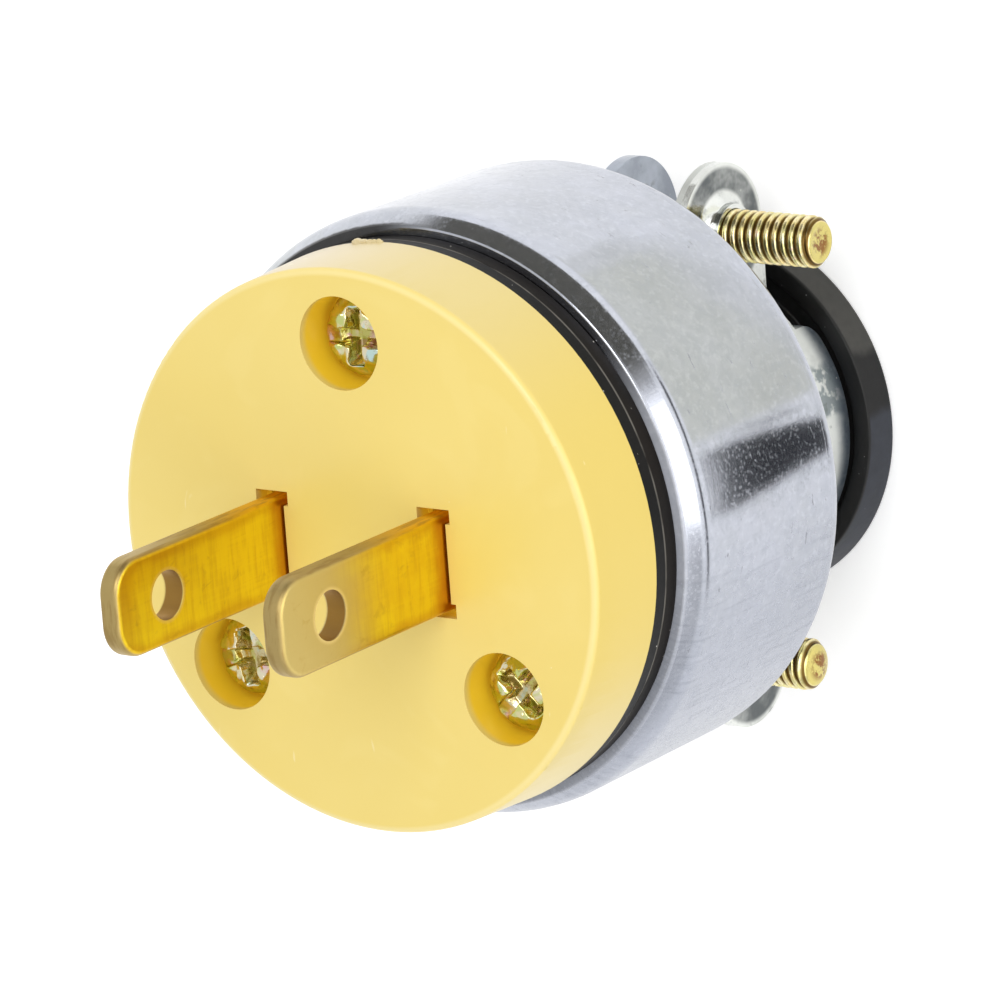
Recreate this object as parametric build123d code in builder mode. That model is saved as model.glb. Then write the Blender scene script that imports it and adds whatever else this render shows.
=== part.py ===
from build123d import *
import os
from math import atan2, cos, pi, radians, sin, tan

# Two-blade heavy-duty plug with a plated steel shell and a two-half cord clamp.
# Millimetres. It stands on the rear face of its grommet with the blades up.
# Z runs along the plug's axis to the blade tips, X from the left to the right blade.

os.makedirs("parts", exist_ok=True)

# Blades
blade_spacing = 12.7
blade_width = 6.35
blade_thickness = 1.52
blade_projection = 17.2
blade_hole_radius = 1.6
blade_hole_height = 12.2
blade_tip_radius = 2.2
blade_edge_round = 0.4
stake_reach = 0.6
stake_height = 0.8
terminal_tab_length = 7.1
terminal_tab_width = 7.6
terminal_tab_round = 2.5
terminal_bend_round = 1.3

# Front cover
body_radius = 18.8
cover_depth = 6.2
cover_draft = 0.3
cover_edge_round = 0.5
cover_wall = 3.3
cover_skirt_wall = 2.5
slot_side_gap = 0.14
slot_end_gap = 0.375
slot_notch_reach = 0.35
slot_notch_height = 0.95
slot_notch_depth = 1.2

# Places of the three cover screws
screw_pitch_radius = 13.7
screw_angles = (90, 218.2, 321.8)
screw_boss_radius = 4.6
counterbore_radius = 3.05
counterbore_depth = 3.3
cover_screw_length = 9.2

# Machine screws of one thread size, for the cover and for the clamp
thread_radius = 1.75
thread_gap = 0.03
screw_hole_gap = 0.2
screw_tip_chamfer = 0.35
screw_head_radius = 2.7
screw_head_height = 1.9
screw_rim_height = 1.2
drive_slot_width = 1.0
drive_slot_depth = 0.8
drive_cross_length = 4.0
drive_cross_depth = 1.2
upper_slot_turn = 0
left_slot_turn = 0
right_slot_turn = -45

# Contact carrier
carrier_flange_thickness = 1.25
carrier_flange_inset = 0.12
carrier_body_radius = 15.6
carrier_body_depth = 7.55
carrier_fit_gap = 0.15
carrier_slot_gap = 0.06
plateau_height = 2.0
barrier_thickness = 1.8
barrier_length = 20
barrier_height = 6.2

# Terminal screws
terminal_thread_radius = 1.9
terminal_head_radius = 3.1
terminal_head_height = 1.9
terminal_rim_height = 1.1
terminal_screw_length = 5.2
terminal_hole_gap = 0.3
terminal_hole_spare = 0.6

# Shell
shell_length = 17.2
shell_wall = 0.7
shell_front_step = 0.45
shell_band_length = 1.35
shell_band_rise = 0.9
shell_rear_taper = 0.1
shell_lip_width = 2.3
shell_front_round = 0.35
shell_rear_round = 1.1
shell_inner_round = 0.4
neck_radius = 7.2
neck_length = 4.6
neck_root_round = 0.5
neck_lip_reach = 1.6
neck_lip_thickness = 1.0

# Insulating ring, retaining ring and liner
insulating_ring_thickness = 1.25
insulating_ring_gap = 0.3
retaining_ring_thickness = 1.2
retaining_ring_gap = 0.12
lug_radius = 2.7
lug_channel_gap = 0.3
lug_collar_radius = 2.45
lug_collar_height = 1.5
liner_wall = 0.8
liner_gap = 0.12
liner_end_gap = 0.1
liner_corner_round = 0.6
liner_cord_gap = 0.1

# Cord clamp, loose on the neck, so that it hangs a little off the axis
clamp_drop = 1.1
clamp_length = 13.2
clamp_front_gap = 1.6
clamp_sheet = 1.0
saddle_play = 0.1
saddle_half_width = 7.1
saddle_corner_round = 1.0
hook_play = 0.1
ear_height = 6.6
ear_radius = 4.75
ear_root_round = 0.7
ear_bend_round = 0.5
tapped_ear_plane = 5.3
plain_ear_plane = 0.4
ear_collar_radius = 2.45
ear_collar_height = 0.95
ear_collar_flare = 0.55
clamp_screw_reach = 3.55
clamp_screw_length = 15.45
lower_screw_slack = 2.15

# Grommet
grommet_flange_radius = 12.95
grommet_flange_draft = 0.65
grommet_flange_thickness = 2.2
grommet_flange_round = 0.2
grommet_seat_gap = 0.3
grommet_sleeve_gap = 0.1
grommet_neck_gap = 0.4
grommet_bore_radius = 6.2

# How far a cutting shape reaches past the metal, and how close a picked edge lies to its plane
cut_margin = 1.0
pick_margin = 0.01

# Heights, stacked from the rear face
clamp_rear = grommet_flange_thickness + grommet_seat_gap
clamp_front = clamp_rear + clamp_length
shell_rear = clamp_front + clamp_front_gap
shell_front = shell_rear + shell_length
neck_rear = shell_rear - neck_length
neck_lip_front = neck_rear + neck_lip_thickness
carrier_flange_rear = shell_front + insulating_ring_thickness
cover_rear = carrier_flange_rear + carrier_flange_thickness
cover_front = cover_rear + cover_depth
carrier_rear = carrier_flange_rear - carrier_body_depth
plateau_top = cover_rear + plateau_height
counterbore_floor = cover_front - counterbore_depth
blade_tip = cover_front + blade_projection
blade_hole_centre = cover_front + blade_hole_height
tab_rear = carrier_rear - blade_thickness
retaining_ring_front = shell_front - shell_wall
retaining_ring_rear = retaining_ring_front - retaining_ring_thickness
shell_crease = shell_front - shell_band_length
shell_inner_rear = shell_rear + shell_wall
liner_front = retaining_ring_rear - liner_end_gap
liner_rear = shell_inner_rear + liner_end_gap
ear_centre = clamp_rear + ear_height
sleeve_front = neck_rear - grommet_neck_gap

# Radii and widths that follow from the driving ones
shell_front_radius = body_radius + shell_front_step
shell_crease_radius = shell_front_radius + shell_band_rise
shell_rear_radius = shell_crease_radius - shell_rear_taper
shell_lip_radius = shell_front_radius - shell_lip_width
shell_band_lean = atan2(shell_band_rise, shell_band_length)
shell_inner_crease = shell_crease - shell_wall * tan(shell_band_lean / 2)
shell_inner_front_radius = shell_front_radius - shell_wall * tan((pi / 2 - shell_band_lean) / 2)
neck_bore_radius = neck_radius - shell_wall
neck_lip_radius = neck_radius + neck_lip_reach
cover_cavity_radius = body_radius - cover_skirt_wall
screw_hole_radius = thread_radius + screw_hole_gap
tapped_hole_radius = thread_radius + thread_gap
lug_channel_radius = lug_radius + lug_channel_gap
retaining_ring_radius = shell_inner_front_radius - retaining_ring_gap
ring_bore_radius = carrier_body_radius + insulating_ring_gap
liner_radius = shell_crease_radius - shell_wall - liner_gap
liner_rear_radius = shell_rear_radius - shell_wall - liner_gap
blade_inner_face = (blade_spacing - blade_thickness) / 2
blade_outer_face = (blade_spacing + blade_thickness) / 2
terminal_x = blade_outer_face + terminal_tab_length / 2
saddle_radius = neck_lip_radius + clamp_drop + saddle_play
saddle_outer_radius = saddle_radius + clamp_sheet
hook_radius = neck_radius + clamp_drop + hook_play
hook_half_width = saddle_half_width - saddle_corner_round
clamp_screw_offset = saddle_outer_radius + clamp_screw_reach
sleeve_radius = saddle_radius - grommet_sleeve_gap

# Places: each cover screw's location has its own X pointing outwards
screw_places = [
    Location((screw_pitch_radius * cos(radians(a)), screw_pitch_radius * sin(radians(a)), 0), (0, 0, a))
    for a in screw_angles
]
blade_places = [(-blade_spacing / 2, 0), (blade_spacing / 2, 0)]
terminal_places = [(-terminal_x, 0), (terminal_x, 0)]
upper_clamp_y = clamp_screw_offset - clamp_drop
lower_clamp_y = -clamp_screw_offset - clamp_drop


# A domed screw seated on a plane: the head lies on the normal's side and the shank on the other
def machine_screw(seat, shank_radius, length, head_radius, head_height, rim_height, slot_turn):
    dome = head_height - rim_height
    dome_radius = (head_radius**2 + dome**2) / (2 * dome)
    slot_length = 2 * (head_radius + cut_margin)
    with BuildPart() as screw:
        with BuildSketch(Plane(origin=seat.origin, x_dir=seat.x_dir, z_dir=-seat.y_dir)):
            with BuildLine():
                Polyline(
                    (0, head_height),
                    (0, -length),
                    (shank_radius - screw_tip_chamfer, -length),
                    (shank_radius, screw_tip_chamfer - length),
                    (shank_radius, 0),
                    (head_radius, 0),
                    (head_radius, rim_height),
                )
                RadiusArc((head_radius, rim_height), (0, head_height), -dome_radius)
            make_face()
        revolve(axis=Axis(seat.origin, seat.z_dir))
        with BuildSketch(seat.offset(head_height)):
            Rectangle(slot_length, drive_slot_width, rotation=slot_turn)
        extrude(amount=-drive_slot_depth, mode=Mode.SUBTRACT)
        with BuildSketch(seat.offset(head_height)):
            Rectangle(drive_cross_length, drive_slot_width, rotation=slot_turn)
            Rectangle(drive_slot_width, drive_cross_length, rotation=slot_turn)
        extrude(amount=-drive_cross_depth, mode=Mode.SUBTRACT)
    return screw


# One half of the cord clamp on the +X side, before its screw holes
def clamp_half(ear_plane):
    sheet_middle = ear_plane + clamp_sheet / 2
    reach = clamp_screw_offset + ear_radius
    middle_z = (clamp_rear + clamp_front) / 2
    with BuildPart() as half:
        with BuildSketch(Plane.XY.offset(clamp_rear)):
            with Locations((0, -clamp_drop)):
                Circle(saddle_outer_radius)
            with Locations((sheet_middle, -clamp_drop)):
                Rectangle(clamp_sheet, 2 * reach)
            with Locations((0, -clamp_drop)):
                Circle(saddle_radius, mode=Mode.SUBTRACT)
            with Locations((ear_plane, -clamp_drop)):
                Rectangle(
                    reach,
                    2 * (reach + cut_margin),
                    align=(Align.MIN, Align.CENTER),
                    mode=Mode.INTERSECT,
                )
        extrude(amount=clamp_length)
        bends = half.edges().filter_by(Axis.Z).filter_by(
            lambda e: clamp_sheet < abs(e.center().Y + clamp_drop) < reach - cut_margin
        )
        outer_bends = bends.filter_by(lambda e: abs(e.center().X - ear_plane - clamp_sheet) < pick_margin)
        inner_bends = bends.filter_by(lambda e: abs(e.center().X - ear_plane) < pick_margin)
        fillet(outer_bends, ear_bend_round)
        fillet(inner_bends, ear_bend_round + clamp_sheet)
        with BuildSketch(Plane.YZ) as outline:
            with Locations((-clamp_drop, ear_centre)):
                SlotCenterToCenter(2 * clamp_screw_offset, 2 * ear_radius)
            with Locations((-clamp_drop, middle_z)):
                RectangleRounded(2 * saddle_half_width, clamp_length, saddle_corner_round)
            roots = outline.vertices().filter_by(
                lambda v: abs(abs(v.Y + clamp_drop) - saddle_half_width) < pick_margin
                and abs(abs(v.Z - ear_centre) - ear_radius) < pick_margin
            )
            fillet(roots, ear_root_round)
        extrude(amount=reach, mode=Mode.INTERSECT)
        with BuildSketch(Plane.XY.offset(clamp_front - clamp_sheet)):
            with Locations((0, -clamp_drop)):
                Circle(saddle_radius + clamp_sheet / 2)
                Circle(hook_radius, mode=Mode.SUBTRACT)
            with Locations((ear_plane, -clamp_drop)):
                Rectangle(reach, 2 * hook_half_width, align=(Align.MIN, Align.CENTER), mode=Mode.INTERSECT)
        extrude(amount=clamp_sheet)
    return half


# Front cover
with BuildPart() as front_cover:
    with Locations((0, 0, cover_rear)):
        Cone(
            body_radius,
            body_radius - cover_draft,
            cover_depth,
            align=(Align.CENTER, Align.CENTER, Align.MIN),
        )
    fillet(front_cover.faces().sort_by(Axis.Z)[-1].edges(), cover_edge_round)
    with BuildSketch(Plane.XY.offset(cover_rear)):
        Circle(cover_cavity_radius)
        with Locations(*screw_places):
            Circle(screw_boss_radius, mode=Mode.SUBTRACT)
    extrude(amount=cover_depth - cover_wall, mode=Mode.SUBTRACT)
    with BuildSketch(Plane.XY.offset(cover_front)):
        with Locations(*screw_places):
            Circle(counterbore_radius)
    extrude(amount=-counterbore_depth, mode=Mode.SUBTRACT)
    with BuildSketch(Plane.XY.offset(cover_rear)):
        with Locations(*screw_places):
            Circle(screw_hole_radius)
    extrude(amount=cover_depth, mode=Mode.SUBTRACT)
    slot_width = blade_thickness + 2 * slot_side_gap
    slot_length = blade_width + 2 * slot_end_gap
    notch_y = (slot_length - slot_notch_height) / 2
    with BuildSketch(Plane.XY.offset(cover_front)):
        with Locations(*blade_places):
            Rectangle(slot_width, blade_width + 2 * slot_side_gap)
    extrude(amount=-cover_wall, mode=Mode.SUBTRACT)
    with BuildSketch(Plane.XY.offset(cover_front)):
        for x, y in blade_places:
            with Locations((x, y)):
                Rectangle(slot_width, slot_length)
            with Locations((x, y - notch_y), (x, y + notch_y)):
                Rectangle(slot_width + 2 * slot_notch_reach, slot_notch_height)
    extrude(amount=-slot_notch_depth, mode=Mode.SUBTRACT)
front_cover.part.label = "front_cover"
export_step(front_cover.part, "parts/front_cover.step")

# Contact carrier
with BuildPart() as contact_carrier:
    with BuildSketch(Plane.XY.offset(carrier_rear)):
        Circle(carrier_body_radius)
        with Locations(*screw_places):
            Circle(lug_channel_radius, mode=Mode.SUBTRACT)
            Rectangle(
                carrier_body_radius,
                2 * lug_channel_radius,
                align=(Align.MIN, Align.CENTER),
                mode=Mode.SUBTRACT,
            )
    extrude(amount=carrier_body_depth)
    with BuildSketch(Plane.XY.offset(carrier_flange_rear)):
        Circle(body_radius - carrier_flange_inset)
    extrude(amount=carrier_flange_thickness)
    with BuildSketch(Plane.XY.offset(cover_rear)):
        Circle(cover_cavity_radius - carrier_fit_gap)
        with Locations(*screw_places):
            Circle(screw_boss_radius + carrier_fit_gap, mode=Mode.SUBTRACT)
    extrude(amount=plateau_height)
    with BuildSketch(Plane.XY.offset(carrier_rear)):
        Rectangle(barrier_thickness, barrier_length)
    extrude(amount=-barrier_height)
    with BuildSketch(Plane.XY.offset(carrier_flange_rear)):
        with Locations(*screw_places):
            Circle(screw_hole_radius)
    extrude(amount=carrier_flange_thickness, mode=Mode.SUBTRACT)
    with BuildSketch(Plane.XY.offset(carrier_rear)):
        with Locations(*blade_places):
            Rectangle(blade_thickness + 2 * carrier_slot_gap, blade_width + 2 * carrier_slot_gap)
    extrude(amount=plateau_top - carrier_rear, mode=Mode.SUBTRACT)
    with BuildSketch(Plane.XY.offset(carrier_rear)):
        with Locations(*terminal_places):
            Circle(terminal_thread_radius + terminal_hole_gap)
    extrude(amount=terminal_screw_length + terminal_hole_spare - blade_thickness, mode=Mode.SUBTRACT)
contact_carrier.part.label = "contact_carrier"
export_step(contact_carrier.part, "parts/contact_carrier.step")

# Blades: punched strips staked on the carrier, with a terminal tab folded outwards behind it
with BuildPart() as right_blade:
    with BuildSketch(Plane.YZ.offset(blade_inner_face)) as strip:
        with Locations((0, tab_rear)):
            Rectangle(blade_width, blade_tip - tab_rear, align=(Align.CENTER, Align.MIN))
        fillet(strip.vertices().group_by(Axis.Z)[-1], blade_tip_radius)
    extrude(amount=blade_thickness)
    rims = right_blade.edges().filter_by(lambda e: abs(e.center().X - blade_spacing / 2) > pick_margin)
    fillet(rims.filter_by(lambda e: e.center().Z > carrier_rear), blade_edge_round)
    with BuildSketch(Plane.YZ.offset(blade_inner_face)):
        with Locations((0, blade_hole_centre)):
            Circle(blade_hole_radius)
    extrude(amount=blade_thickness, mode=Mode.SUBTRACT)
    with BuildSketch(Plane.XY.offset(plateau_top)):
        with Locations((blade_spacing / 2, 0)):
            Rectangle(blade_thickness, blade_width + 2 * stake_reach)
    extrude(amount=stake_height)
    with BuildSketch(Plane.XY.offset(tab_rear)) as tab:
        with Locations((blade_inner_face, 0)):
            Rectangle(
                blade_thickness + terminal_tab_length,
                terminal_tab_width,
                align=(Align.MIN, Align.CENTER),
            )
        fillet(tab.vertices().group_by(Axis.X)[-1], terminal_tab_round)
        with Locations((terminal_x, 0)):
            Circle(terminal_thread_radius + thread_gap, mode=Mode.SUBTRACT)
    extrude(amount=blade_thickness)
    bend = right_blade.edges().filter_by(Axis.Y).group_by(Axis.Z)[0].sort_by(Axis.X)[0]
    fillet(bend, terminal_bend_round)
right_blade.part.label = "right_blade"
export_step(right_blade.part, "parts/right_blade.step")

with BuildPart() as left_blade:
    mirror(right_blade.part, about=Plane.YZ)
left_blade.part.label = "left_blade"
export_step(left_blade.part, "parts/left_blade.step")

# Terminal screws
terminal_labels = ("left_terminal_screw", "right_terminal_screw")
for label, (x, y) in zip(terminal_labels, terminal_places):
    terminal_screw = machine_screw(
        Plane(origin=(x, y, tab_rear), z_dir=(0, 0, -1)),
        terminal_thread_radius,
        terminal_screw_length,
        terminal_head_radius,
        terminal_head_height,
        terminal_rim_height,
        0,
    )
    terminal_screw.part.label = label
    export_step(terminal_screw.part, f"parts/{label}.step")

# Cover screws
cover_screw_labels = ("upper_cover_screw", "left_cover_screw", "right_cover_screw")
cover_screw_turns = (upper_slot_turn, left_slot_turn, right_slot_turn)
for label, place, turn in zip(cover_screw_labels, screw_places, cover_screw_turns):
    centre = place.position
    cover_screw = machine_screw(
        Plane(origin=(centre.X, centre.Y, counterbore_floor)),
        thread_radius,
        cover_screw_length,
        screw_head_radius,
        screw_head_height,
        screw_rim_height,
        turn,
    )
    cover_screw.part.label = label
    export_step(cover_screw.part, f"parts/{label}.step")

# Insulating ring
with BuildPart() as insulating_ring:
    with BuildSketch(Plane.XY.offset(shell_front)):
        Circle(body_radius - carrier_flange_inset)
        Circle(ring_bore_radius, mode=Mode.SUBTRACT)
    extrude(amount=insulating_ring_thickness)
insulating_ring.part.label = "insulating_ring"
export_step(insulating_ring.part, "parts/insulating_ring.step")

# Retaining ring with three tapped lugs
with BuildPart() as retaining_ring:
    ring_middle_radius = (ring_bore_radius + retaining_ring_radius) / 2
    with BuildSketch(Plane.XY.offset(retaining_ring_rear)):
        Circle(retaining_ring_radius)
        Circle(ring_bore_radius, mode=Mode.SUBTRACT)
        with Locations(*screw_places):
            Circle(lug_radius)
            Rectangle(
                ring_middle_radius - screw_pitch_radius,
                2 * lug_radius,
                align=(Align.MIN, Align.CENTER),
            )
    extrude(amount=retaining_ring_thickness)
    with BuildSketch(Plane.XY.offset(retaining_ring_rear)):
        with Locations(*screw_places):
            Circle(lug_collar_radius)
    extrude(amount=-lug_collar_height)
    with BuildSketch(Plane.XY.offset(retaining_ring_rear - lug_collar_height)):
        with Locations(*screw_places):
            Circle(tapped_hole_radius)
    extrude(amount=retaining_ring_thickness + lug_collar_height, mode=Mode.SUBTRACT)
retaining_ring.part.label = "retaining_ring"
export_step(retaining_ring.part, "parts/retaining_ring.step")

# Shell, drawn from one sheet with a front lip, a rear face and a flanged neck
with BuildPart() as shell:
    with BuildSketch(Plane.XZ):
        with BuildLine():
            outside = FilletPolyline(
                (shell_front_radius - shell_lip_width / 2, shell_front),
                (shell_front_radius, shell_front),
                (shell_crease_radius, shell_crease),
                radius=shell_front_round,
            )
            side = FilletPolyline(
                outside @ 1,
                (shell_rear_radius, shell_rear),
                (neck_radius + shell_rear_round, shell_rear),
                radius=shell_rear_round,
            )
            root = FilletPolyline(
                side @ 1,
                (neck_radius, shell_rear),
                (neck_radius, neck_lip_front),
                radius=neck_root_round,
            )
            inside = Polyline(
                root @ 1,
                (neck_lip_radius, neck_lip_front),
                (neck_lip_radius, neck_rear),
                (neck_bore_radius, neck_rear),
                (neck_bore_radius, shell_inner_rear),
            )
            inner_corner = FilletPolyline(
                inside @ 1,
                (shell_rear_radius - shell_wall, shell_inner_rear),
                (shell_crease_radius - shell_wall, shell_inner_crease),
                radius=shell_inner_round,
            )
            Polyline(
                inner_corner @ 1,
                (shell_inner_front_radius, retaining_ring_front),
                (shell_lip_radius, retaining_ring_front),
                (shell_lip_radius, shell_front),
                outside @ 0,
            )
        make_face()
    revolve(axis=Axis.Z)
shell.part.label = "shell"
export_step(shell.part, "parts/shell.step")

# Shell liner, an open cup with a hole for the cord
with BuildPart() as shell_liner:
    with BuildSketch(Plane.XZ):
        with BuildLine():
            cup = FilletPolyline(
                (liner_radius, liner_front),
                (liner_rear_radius, liner_rear),
                (neck_bore_radius + liner_cord_gap, liner_rear),
                radius=liner_corner_round,
            )
            Polyline(
                cup @ 1,
                (neck_bore_radius + liner_cord_gap, liner_rear + liner_wall),
                (liner_rear_radius - liner_wall, liner_rear + liner_wall),
                (liner_radius - liner_wall, liner_front),
                cup @ 0,
            )
        make_face()
    revolve(axis=Axis.Z)
shell_liner.part.label = "shell_liner"
export_step(shell_liner.part, "parts/shell_liner.step")

# Near clamp half, with tapped collars drawn out of its ears
with BuildPart() as near_clamp:
    add(clamp_half(tapped_ear_plane).part)
    with BuildSketch(Plane.YZ.offset(tapped_ear_plane + clamp_sheet)):
        with Locations((upper_clamp_y, ear_centre), (lower_clamp_y, ear_centre)):
            Circle(ear_collar_radius)
    extrude(amount=ear_collar_height)
    collar_roots = near_clamp.edges().filter_by(GeomType.CIRCLE).filter_by(
        lambda e: abs(e.radius - ear_collar_radius) < pick_margin
        and abs(e.center().X - tapped_ear_plane - clamp_sheet) < pick_margin
    )
    fillet(collar_roots, ear_collar_flare)
    with BuildSketch(Plane.YZ.offset(tapped_ear_plane)):
        with Locations((upper_clamp_y, ear_centre), (lower_clamp_y, ear_centre)):
            Circle(tapped_hole_radius)
    extrude(amount=clamp_sheet + ear_collar_height, mode=Mode.SUBTRACT)
near_clamp.part.label = "near_clamp"
export_step(near_clamp.part, "parts/near_clamp.step")

# Far clamp half, with plain holes
with BuildPart() as far_clamp:
    mirror(clamp_half(plain_ear_plane).part, about=Plane.YZ)
    with BuildSketch(Plane.YZ.offset(-plain_ear_plane)):
        with Locations((upper_clamp_y, ear_centre), (lower_clamp_y, ear_centre)):
            Circle(screw_hole_radius)
    extrude(amount=-clamp_sheet, mode=Mode.SUBTRACT)
far_clamp.part.label = "far_clamp"
export_step(far_clamp.part, "parts/far_clamp.step")

# Clamp screws: the upper head sits on its far ear, the lower screw is turned out a little
far_ear_back = -plain_ear_plane - clamp_sheet
clamp_screws = (
    ("upper_clamp_screw", upper_clamp_y, far_ear_back),
    ("lower_clamp_screw", lower_clamp_y, far_ear_back - lower_screw_slack),
)
for label, y, seat_x in clamp_screws:
    clamp_screw = machine_screw(
        Plane(origin=(seat_x, y, ear_centre), x_dir=(0, 1, 0), z_dir=(-1, 0, 0)),
        thread_radius,
        clamp_screw_length,
        screw_head_radius,
        screw_head_height,
        screw_rim_height,
        0,
    )
    clamp_screw.part.label = label
    export_step(clamp_screw.part, f"parts/{label}.step")

# Grommet
with BuildPart() as grommet:
    with BuildSketch(Plane.XZ.offset(clamp_drop)):
        with BuildLine():
            flange = FilletPolyline(
                (grommet_bore_radius, 0),
                (grommet_flange_radius, 0),
                (grommet_flange_radius - grommet_flange_draft, grommet_flange_thickness),
                (sleeve_radius, grommet_flange_thickness),
                radius=grommet_flange_round,
            )
            Polyline(
                flange @ 1,
                (sleeve_radius, sleeve_front),
                (grommet_bore_radius, sleeve_front),
                flange @ 0,
            )
        make_face()
    revolve(axis=Axis((0, -clamp_drop, 0), (0, 0, 1)))
grommet.part.label = "grommet"
export_step(grommet.part, "parts/grommet.step")
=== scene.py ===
import bpy
import bmesh
from math import atan2, cos, pi, radians, sin, tan
from mathutils import Matrix, Vector, noise


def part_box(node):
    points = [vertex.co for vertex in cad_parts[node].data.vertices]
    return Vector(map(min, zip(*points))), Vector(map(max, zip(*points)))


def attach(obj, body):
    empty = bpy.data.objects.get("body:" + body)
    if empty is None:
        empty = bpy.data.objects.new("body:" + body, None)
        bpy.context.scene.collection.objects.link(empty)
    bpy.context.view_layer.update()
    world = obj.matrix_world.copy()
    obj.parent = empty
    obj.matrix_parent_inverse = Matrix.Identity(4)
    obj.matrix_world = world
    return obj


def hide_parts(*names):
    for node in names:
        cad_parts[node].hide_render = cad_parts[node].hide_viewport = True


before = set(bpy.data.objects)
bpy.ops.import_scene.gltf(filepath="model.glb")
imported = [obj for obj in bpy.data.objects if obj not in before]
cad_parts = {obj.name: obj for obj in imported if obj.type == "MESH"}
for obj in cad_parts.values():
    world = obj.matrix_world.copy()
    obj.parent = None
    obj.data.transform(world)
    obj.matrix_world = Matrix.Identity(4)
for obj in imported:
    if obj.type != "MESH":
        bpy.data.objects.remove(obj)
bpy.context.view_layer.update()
mm = 0.001
noiseSeed = 4                           # noise vectors draw their offsets from it
noise.seed_set(noiseSeed)
print("stage: frame loaded,", len(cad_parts), "nodes")


# A value in a node tree that takes part in Python expressions
class Val:
    def __init__(self, kit, socket):
        self.kit, self.socket = kit, socket

    def maths(self, operation, *others):
        terms = {f"i{k}": item for k, item in enumerate((self,) + others)}
        return self.kit.node("ShaderNodeMath", {"operation": operation}, **terms)

    def __add__(self, other): return self.maths("ADD", other)
    def __sub__(self, other): return self.maths("SUBTRACT", other)
    def __mul__(self, other): return self.maths("MULTIPLY", other)
    def __truediv__(self, other): return self.maths("DIVIDE", other)
    def __pow__(self, other): return self.maths("POWER", other)
    def __radd__(self, other): return self.maths("ADD", other)
    def __rmul__(self, other): return self.maths("MULTIPLY", other)
    def __rsub__(self, other): return self.maths("MULTIPLY", -1.0) + other
    def above(self, limit): return self.maths("GREATER_THAN", limit)
    def least(self, other): return self.maths("MINIMUM", other)
    def most(self, other): return self.maths("MAXIMUM", other)
    def root(self): return self.maths("SQRT")
    def size(self): return self.maths("ABSOLUTE")
    def part(self): return self.maths("FRACT")
    def sine(self): return self.maths("SINE")
    def cosine(self): return self.maths("COSINE")

    def ramp(self, low, high):          # 0 below low, 1 above high, smooth between
        return self.kit.node("ShaderNodeMapRange", {"interpolation_type": "SMOOTHSTEP"},
                             Value=self, From_Min=low, From_Max=high)

    def between(self, ends):            # the same for a length, with its two ends in millimetres
        return self.ramp(ends[0] * mm, ends[1] * mm)


class NodeKit:
    def __init__(self, tree):
        self.tree = tree

    # A node's type, its settings, which are set first, and a value or link for each socket that needs one,
    # by the socket's name or by its place as i0, i1
    def node(self, kind, settings=None, out=0, **values):
        node = self.tree.nodes.new(kind)
        for key, item in (settings or {}).items():
            setattr(node, key, item)
        for key, item in values.items():
            slot = node.inputs[int(key[1:]) if key[0] == "i" and key[1:].isdigit() else key.replace("_", " ")]
            if isinstance(item, Val):
                self.tree.links.new(item.socket, slot)
            else:
                slot.default_value = item
        return Val(self, node.outputs[out]) if node.outputs else None

    def every(self, first):             # all the outputs of the node that a value comes from
        return [Val(self, output) for output in first.socket.node.outputs]

    def split(self, vector):
        return self.every(self.node("ShaderNodeSeparateXYZ", Vector=vector))

    def joined(self, x, y, z):
        return self.node("ShaderNodeCombineXYZ", X=x, Y=y, Z=z)


class Finish(NodeKit):
    def __init__(self, name):
        self.material = bpy.data.materials.new(name)
        self.material.use_nodes = True
        super().__init__(self.material.node_tree)
        self.tree.nodes.clear()
        self.place = self.node("ShaderNodeTexCoord", out="Object")
        self.x, self.y, self.z = self.split(self.place)

    def stretched(self, x, y, z, vector=None):      # the object's own coordinates, scaled along each axis
        return self.node("ShaderNodeMapping", Vector=vector or self.place, Scale=(x, y, z))

    def noise(self, scale, detail=2.0, roughness=0.5, vector=None, distortion=0.0):
        return self.node("ShaderNodeTexNoise", Vector=vector or self.place, Scale=scale,
                         Detail=detail, Roughness=roughness, Distortion=distortion)

    def cells(self, scale):
        return self.node("ShaderNodeTexVoronoi", out="Distance", Vector=self.place, Scale=scale)

    def blend(self, factor, first, second):         # two colours, whose sockets are i6 and i7 of the node
        return self.node("ShaderNodeMix", {"data_type": "RGBA"}, out=2, i0=factor, i6=first, i7=second)

    def bump(self, height, strength, distance):
        return self.node("ShaderNodeBump", Height=height, Strength=strength, Distance=distance)

    def finish(self, **values):
        self.node("ShaderNodeOutputMaterial", Surface=self.node("ShaderNodeBsdfPrincipled", **values))
        return self.material


def rgb(r, g, b):                       # a colour written as it looks on a screen, 0 to 255
    return tuple(((c / 255 + 0.055) / 1.055) ** 2.4 for c in (r, g, b)) + (1.0,)


# Camera at the photograph's viewing angle
cameraLook = {
    "place": (0.2692, 0.1194, 0.3916),
    "back": (0.5746, 0.2561, 0.7773),
    "up": (-0.0911, 0.9639, -0.2503),
    "lens": 259.5,
    "sensor": 36,
    "near": 0.01,
}


def cameraFrame(look):
    back = Vector(look["back"]).normalized()
    right = Vector(look["up"]).cross(back).normalized()
    up = back.cross(right)
    turn = Matrix((right, up, back)).transposed().to_4x4()
    turn.translation = Vector(look["place"])
    return turn, right, up, back


cameraPlace, right, up, back = cameraFrame(cameraLook)
camera = bpy.data.objects.new("camera", bpy.data.cameras.new("camera"))
camera.data.lens = cameraLook["lens"]
camera.data.sensor_width = cameraLook["sensor"]
camera.data.clip_start = cameraLook["near"]
camera.matrix_world = cameraPlace
bpy.context.collection.objects.link(camera)
bpy.context.scene.camera = camera

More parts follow.
